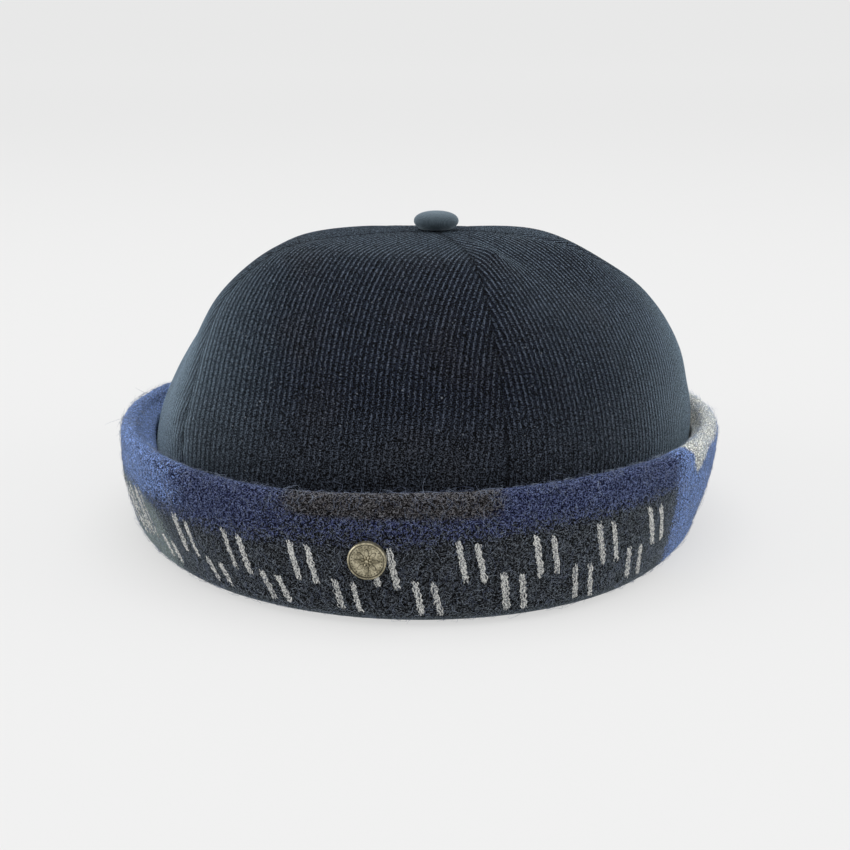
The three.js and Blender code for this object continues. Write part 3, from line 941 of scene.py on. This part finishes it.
def cuff_section(azimuth):
    """The cuff's section as two arrays, radius and height, one column for each azimuth given."""
    azimuth = np.asarray(azimuth, float)
    fold, rim, height = [cuff_value(c, azimuth)[None, :] for c in ("fold", "rim", "height")]
    rim_level = height - RIM_ROLL
    hem = FOLD_DEPTH / 2

    def arc(radius, level, roll, start, end, steps):
        angle = np.radians(np.linspace(start, end, steps))[:, None]
        return radius + roll * np.cos(angle), level + roll * np.sin(angle)

    def wall(start, end, steps):
        share = np.linspace(start, end, steps)[:, None]
        return bowed(fold, rim, share), mix(FOLD_ROLL, rim_level, share)

    def inner_wall(start, end, steps):
        radius, height = wall(start, end, steps)
        brow = rim - RIM_ROLL * (1 + math.cos(math.radians(180 - RIM_TURN)))
        hug = 1 - step(height, rim_level - HUG_DEPTH, rim_level + RIM_ROLL / 2)
        upper = mix(brow, np.minimum(brow, crown_reach(azimuth, height) + HUG_GAP), hug)
        return mix(radius - CUFF_WALL, upper, step(height, *LEAN_LEVEL)), height

    parts = [
        arc(fold - FOLD_ROLL, FOLD_ROLL, FOLD_ROLL, -90, 0, FOLD_ROWS),
        wall(0.05, 0.95, WALL_ROWS),
        arc(rim - RIM_ROLL, rim_level, RIM_ROLL, 0, RIM_TURN, RIM_ROWS),
        inner_wall(1.03, 0.03, INNER_ROWS),
        arc(fold - FOLD_REACH + hem, hem, hem, 90, 270, HEM_ROWS),
    ]
    inward = [np.broadcast_to(p, (p.shape[0], len(azimuth))) for p, _ in parts]
    upward = [np.broadcast_to(p, (p.shape[0], len(azimuth))) for _, p in parts]
    return np.concatenate(inward), np.concatenate(upward)


def around(azimuth, radius, height):
    angle = np.radians(azimuth)
    return np.stack([radius * np.sin(angle), -radius * np.cos(angle), height], -1)


def cuff_wall(azimuth, height):
    """The radius of the cuff's outer side at an azimuth and a height."""
    fold, rim, top = [cuff_value(c, azimuth) for c in ("fold", "rim", "height")]
    share = np.clip((height - FOLD_ROLL) / (top - RIM_ROLL - FOLD_ROLL), 0, 1)
    drop = np.clip(FOLD_ROLL - height, 0, FOLD_ROLL)
    under = FOLD_ROLL - np.sqrt(FOLD_ROLL ** 2 - drop ** 2)
    return bowed(fold, rim, share) - under


def dyes(azimuth, height, inner):
    """How much of each dye the wool has at a place, and how much haze; the sky dye is partly painted
    sheen.
    """
    azimuth = (azimuth + 180) % 360 - 180
    edge = np.interp(azimuth, BLUE_EDGE["azimuth"], BLUE_EDGE["height"])
    soft = np.interp(azimuth, BLUE_SOFTNESS["azimuth"], BLUE_SOFTNESS["height"])
    zone = {name: between(azimuth, **ends) for name, ends in ZONES.items()}
    blue = step(height, edge - soft, edge + soft)
    blue = blue * (1 - BLUE_FADE * zone["front fade"])
    blue = np.maximum(blue, zone["right blue"])
    # Painted sheen: the cuff's far left and its right block are painted a lighter blue where they are
    # seen at a glancing angle; on the right part of it is a paler dye.
    left_painted_sheen = zone["left sky"] * step(height, *LEFT_SHEEN_LEVEL)
    sky = np.maximum(zone["right sky"], left_painted_sheen) * PALE_BLUE_AND_SHEEN_SHARE
    brown = np.maximum(zone["front brown"], zone["rear brown"])
    brown = brown * step(height, *BROWN_LEVEL) * (1 - inner)
    wedge = np.interp(azimuth, BEIGE_EDGE["azimuth"], BEIGE_EDGE["height"])
    outside = step(height, wedge - 1.8, wedge + 1.8) * zone["outer beige"]
    beige = np.maximum(outside, zone["inner beige"] * inner)
    border = np.interp(height, GREEN_EDGE["height"], GREEN_EDGE["azimuth"])
    green = step(border - azimuth, -4.0, 3.0) * step(azimuth, *GREEN_END)
    green = green * (1 - step(height, *GREEN_TOP))
    hazy = 1 - step(height, *RIM_LEVEL) * zone["front rim"]
    return dict(blue=blue, sky=sky, brown=brown, beige=beige, green=green, hazy=hazy)


def swell(azimuth, height):
    """How far the brushed wool stands up, or sinks where it is below zero."""
    turn = np.radians(azimuth)
    lump = wave_noise(np.sin(turn) * 9, height * 0.12 + np.cos(turn) * 9, 11)
    ripple = wave_noise(np.sin(turn) * 90, height * 0.7 + np.cos(turn) * 90, 12)
    return LUMP * lump + RIPPLE * ripple


def wool_cuff(material):
    azimuth = np.linspace(-180, 180, CUFF_COLUMNS + 1)
    radius, height = [np.vstack([a, a[:1]]) for a in cuff_section(azimuth)]
    shape = around(azimuth[None, :], radius, height)
    across = np.roll(shape[:, :-1], -1, axis=1) - np.roll(shape[:, :-1], 1, axis=1)
    closing = shape[1:2] - shape[-2:-1]
    along = np.concatenate([closing, shape[2:] - shape[:-2], closing])[:, :-1]
    normal = unit(np.cross(across, along))
    normal = np.concatenate([normal, normal[:, :1]], 1)
    loose = step(shape[..., 2], *SWELL_LEVEL)
    shape = shape + normal * (swell(azimuth[None, :], shape[..., 2]) * loose)[..., None]
    steps = np.linalg.norm(np.diff(shape, axis=0), axis=2)
    run = np.concatenate([np.zeros((1, len(azimuth))), np.cumsum(steps, 0)])
    obj, column, row = grid("wool_cuff", len(azimuth), len(shape))
    place_vertices(obj, shape[row, column])
    lay_uv(obj, np.stack([np.radians(azimuth[column]) * WEAVE_RADIUS, run[row, column]], 1))
    rows = np.arange(len(shape), dtype=float)[:, None] * np.ones(len(azimuth))
    inner = step(rows, RIM_START + 8, RIM_END)
    everywhere = azimuth[None, :] * np.ones(shape.shape[:2])
    for name, amount in dyes(everywhere, shape[..., 2], inner).items():
        lay_tone(obj, name, amount[row, column])
    only(obj)
    bpy.ops.object.mode_set(mode="EDIT")
    bpy.ops.mesh.select_all(action="SELECT")
    bpy.ops.mesh.remove_doubles(threshold=0.001)
    bpy.ops.object.mode_set(mode="OBJECT")
    return finish_piece(obj, material, ["cuff"])


def all_dashes():
    """Each dash as its azimuth, top, foot, lean and count of strands."""
    pairs = list(DASHES)
    for row in REAR_ROWS:
        for k in range(REAR_PAIRS):
            azimuth = row["start"] + k * DASH_STEP
            pairs.append(dict(azimuth=azimuth, top=row["top"], foot=row["foot"], lean=REAR_LEAN))
    single = []
    for pair in pairs:
        for twin in (0, 1):
            azimuth = pair["azimuth"] + twin * PAIR_STEP
            top, foot = [pair[end] - twin * TWIN_DROP[end] for end in ("top", "foot")]
            single.append((azimuth, top, foot, pair["lean"], DASH_STRANDS))
    return single + [(*row.values(), STROKE_STRANDS) for row in STROKES]


def white_dashes(material):
    """Each dash is a loose bundle of thin strands of yarn, pressed into the wool."""
    bpy.ops.object.select_all(action="DESELECT")
    bpy.ops.mesh.primitive_cylinder_add(vertices=4, radius=YARN, depth=1, end_fill_type="TRIFAN")
    pattern = added("strand")
    bpy.ops.object.mode_set(mode="EDIT")
    pick(pattern, "edges", is_upright)
    bpy.ops.mesh.subdivide(number_cuts=STRAND_CUTS)
    bpy.ops.object.mode_set(mode="OBJECT")
    heights = np.linspace(*DASH_SPAN, 60)
    moves = []
    for azimuth, top, foot, lean, strands in all_dashes():
        radii = cuff_wall(azimuth, heights)
        for aside in np.linspace(-HALF_DASH, HALF_DASH, strands):
            moves.append(dash_strand(azimuth, top, foot, lean, aside, heights, radii))
    obj = repeated("white_dashes", pattern, moves)
    return finish_piece(obj, material)


def dash_strand(azimuth, top, foot, lean, aside, heights, radii):
    """Returns the move that bends one straight strand into its place in one dash."""
    slope = np.gradient(radii, heights)
    length = top - foot
    aside = aside + dice.normal(0, 0.12)
    sway, shiver = dice.uniform(0.08, 0.26), dice.uniform(0.12, 0.30)
    phases = dice.uniform(0, 2 * np.pi, 4)
    long_wave, short_wave = length / dice.uniform(4, 8), length / dice.uniform(1.4, 2.6)
    starts, ends = dice.uniform(0, 0.12), 1 - dice.uniform(0, 0.12)
    bow = dice.normal(0, 0.1)
    thick = dice.uniform(0.6, 1.2)

    def move(places):
        share = mix(starts, ends, places[:, 2] + 0.5)
        height = mix(foot, top, share)
        from_end = np.minimum(places[:, 2] + 0.5, 0.5 - places[:, 2])
        taper = np.clip(from_end * 20 + 0.3, 0, 1) * thick
        wander = sway * np.sin(2 * np.pi * long_wave * share + phases[0])
        wander = wander + shiver * np.sin(2 * np.pi * short_wave * share + phases[1])
        sideways = aside + wander + bow * np.sin(np.pi * share) + places[:, 0] * taper
        out = 0.05 + 0.16 * np.sin(2 * np.pi * short_wave * share + phases[2])
        out = out + places[:, 1] * taper
        across = lean * (1 - share) + sideways
        radius = np.interp(height, heights, radii)
        tilt = np.interp(height, heights, slope)
        angle = azimuth + np.degrees(across / radius)
        away = (out + swell(angle, height)) / np.sqrt(1 + tilt ** 2)
        return around(angle, radius + away, height - away * tilt)

    return move


def loose_fibres(material):
    """Short bent hairs that stand off the cuff, most of them at the rim."""
    bpy.ops.object.select_all(action="DESELECT")
    bpy.ops.mesh.primitive_cone_add(vertices=3, radius1=HAIR_ROOT, radius2=HAIR_TIP, depth=1,
                                    end_fill_type="NOTHING")
    pattern = added("hair")
    bpy.ops.object.mode_set(mode="EDIT")
    pick(pattern, "edges", is_upright)
    bpy.ops.mesh.subdivide(number_cuts=HAIR_CUTS)
    bpy.ops.object.mode_set(mode="OBJECT")
    azimuths = dice.uniform(-180, 180, HAIRS)
    radii, heights = cuff_section(azimuths)
    light = dyes(azimuths[None, :], heights, 0.0)["beige"]
    moves, tone = [], []
    for k in range(HAIRS):
        row = int(dice.integers(HAIR_FROM, RIM_END))
        nearby = [(radii[r, k], heights[r, k]) for r in (row - 1, row, row + 1)]
        moves.append(hair(azimuths[k], nearby))
        tone.append(max(dice.beta(1.2, 2.2), light[row, k]))
    obj = repeated("loose_fibres", pattern, moves, tone)
    return finish_piece(obj, material)


def hair(azimuth, nearby):
    """Returns the move that bends one straight hair into its place on the cuff."""
    (r0, z0), (r1, z1), (r2, z2) = nearby
    root = around(azimuth, r1, z1)
    around_way = np.array([np.cos(np.radians(azimuth)), np.sin(np.radians(azimuth)), 0.0])
    up_way = unit(around(azimuth, r2, z2) - around(azimuth, r0, z0))
    out_way = unit(np.cross(around_way, up_way))
    heading = dice.uniform(0, 2 * np.pi)
    bend = dice.normal(0, 2.0)
    length = dice.uniform(1.2, 3.6) * (2.4 if dice.random() < 0.05 else 1.0)
    lift = abs(dice.normal(0, 0.07)) + 0.03

    def move(places):
        share = places[:, 2] + 0.5
        angle = heading + bend * share
        along = length * share
        path = root + (along * np.cos(angle))[:, None] * around_way
        path = path + (along * np.sin(angle))[:, None] * up_way
        rise = 0.05 + lift * length * np.sin(share * 2.6)
        path = path + rise[:, None] * out_way
        path = path + places[:, :1] * around_way + places[:, 1:2] * out_way
        path[:, 2] = np.maximum(path[:, 2], 0.05)
        return path

    return move


# The badge


def badge_hollows(shape):
    """1 at the low places of the badge, where dirt gathers: beside the rim and round the petals."""
    height = shape[:, 2]
    far = np.hypot(shape[:, 0], shape[:, 1])
    groove = (height > 0) & (height < BADGE_FACE + 0.01) & (np.abs(far - BADGE_GROOVE) < 0.06)
    low = (height > 0) & (height < BADGE_FACE + 0.2) & (far > 0.01) & (far < BADGE_GROUND + 0.16)
    ground = np.abs(far - BADGE_GROUND) < 0.02
    return groove | (low & ~ground)


def round_badge(material):
    """A small round badge: a raised rim, a ring of beads and a plain rosette on a sunk face."""
    bpy.ops.object.select_all(action="DESELECT")
    bpy.ops.mesh.primitive_cylinder_add(vertices=72, radius=BADGE_RADIUS, depth=BADGE_THICKNESS - 0.2)
    disc = added("round_badge")
    bpy.ops.object.mode_set(mode="EDIT")
    for thickness, depth in BADGE_INSETS:
        pick(disc, "faces", is_lid(1))
        bpy.ops.mesh.inset(thickness=thickness, depth=depth)
    bpy.ops.object.mode_set(mode="OBJECT")
    pieces = [disc]
    for k in range(BEADS["count"]):
        angle = 2 * math.pi * k / BEADS["count"]
        spot = (BEADS["ring"] * math.cos(angle), BEADS["ring"] * math.sin(angle), BADGE_FACE)
        bpy.ops.mesh.primitive_uv_sphere_add(segments=10, ring_count=6, radius=BEADS["radius"],
                                             location=spot)
        pieces.append(added("bead"))
    for petals in PETALS:
        for k in range(petals["count"]):
            angle = 2 * math.pi * (k + petals["shift"]) / petals["count"]
            bpy.ops.mesh.primitive_uv_sphere_add(segments=14, ring_count=8, radius=1)
            petal = added("petal")
            petal.scale = petals["scale"]
            petal.rotation_euler = (0, 0, angle)
            ring = petals["ring"]
            petal.location = (ring * math.cos(angle), ring * math.sin(angle), BADGE_FACE)
            pieces.append(petal)
    bpy.ops.mesh.primitive_uv_sphere_add(segments=16, ring_count=8, radius=BOSS_RADIUS,
                                         location=(0, 0, BADGE_FACE + 0.25))
    pieces.append(added("boss"))
    bpy.ops.object.select_all(action="DESELECT")
    for piece in pieces:
        piece.select_set(True)
    bpy.context.view_layer.objects.active = disc
    bpy.ops.object.transform_apply(location=True, rotation=True, scale=True)
    bpy.ops.object.join()
    lay_tone(disc, "hollow", badge_hollows(vertices(disc)))
    wall = max(cuff_wall(BADGE_AZIMUTH, BADGE_HEIGHT + up) for up in (-BADGE_RADIUS, 0, BADGE_RADIUS))
    away = float(wall) + BADGE_GAP + BADGE_THICKNESS / 2
    stand = Matrix.Translation((0, -away, BADGE_HEIGHT)) @ Matrix.Rotation(math.pi / 2, 4, "X")
    disc.data.transform(Matrix.Rotation(math.radians(BADGE_AZIMUTH), 4, "Z") @ stand)
    finish_piece(disc, material, ["badge"])
    bpy.ops.object.shade_smooth_by_angle(angle=math.radians(35))
    return disc


# The picture


def studio():
    """A pale floor, a large soft light above and a camera a little above the hat."""
    bpy.ops.object.select_all(action="DESELECT")
    bpy.ops.mesh.primitive_plane_add(size=80, location=(0, 0, -0.0002))
    floor = added("floor")
    floor.data.transform(floor.matrix_world)
    floor.matrix_world = Matrix.Identity(4)
    floor.data.materials.append(glowing_paper())

    world = bpy.data.worlds.new("studio")
    bpy.context.scene.world = world
    world.use_nodes = True
    sky = world.node_tree.nodes["Background"]
    sky.inputs["Color"].default_value = SKY_COLOUR
    nodes, links = world.node_tree.nodes, world.node_tree.links
    direction = nodes.new("ShaderNodeTexCoord")
    split = nodes.new("ShaderNodeSeparateXYZ")
    rise = nodes.new("ShaderNodeMapRange")
    links.new(direction.outputs["Generated"], split.inputs[0])
    links.new(split.outputs[2], rise.inputs["Value"])
    for name, value in SKY_RISE.items():
        rise.inputs[name].default_value = value
    links.new(rise.outputs[0], sky.inputs["Strength"])

    for lamp in LAMPS:
        light = bpy.data.lights.new(lamp["name"], "AREA")
        light.shape = "DISK"
        light.size = lamp["size"]
        light.energy = lamp["power"]
        holder = bpy.data.objects.new(lamp["name"], light)
        holder.location = lamp["place"]
        aim = Vector(LAMP_AIM) - Vector(lamp["place"])
        holder.rotation_euler = aim.to_track_quat("-Z", "Y").to_euler()
        bpy.context.scene.collection.objects.link(holder)

    lens = bpy.data.cameras.new("camera")
    lens.lens = CAMERA["lens"]
    lens.sensor_width = 36
    lens.clip_start = 0.01
    lens.clip_end = 200
    camera = bpy.data.objects.new("camera", lens)
    camera.location = CAMERA["place"]
    camera.rotation_euler = (math.pi / 2 - CAMERA["dip"], 0, CAMERA["roll"])
    bpy.context.scene.collection.objects.link(camera)
    bpy.context.scene.camera = camera
    bpy.context.scene.view_settings.view_transform = "Standard"


pile = corduroy()
for panel in PANELS:
    corduroy_panel(panel, pile)
covered_button(button_cloth())
wool_cuff(wool())
white_dashes(yarn())
loose_fibres(fibre())
round_badge(badge_metal())
studio()
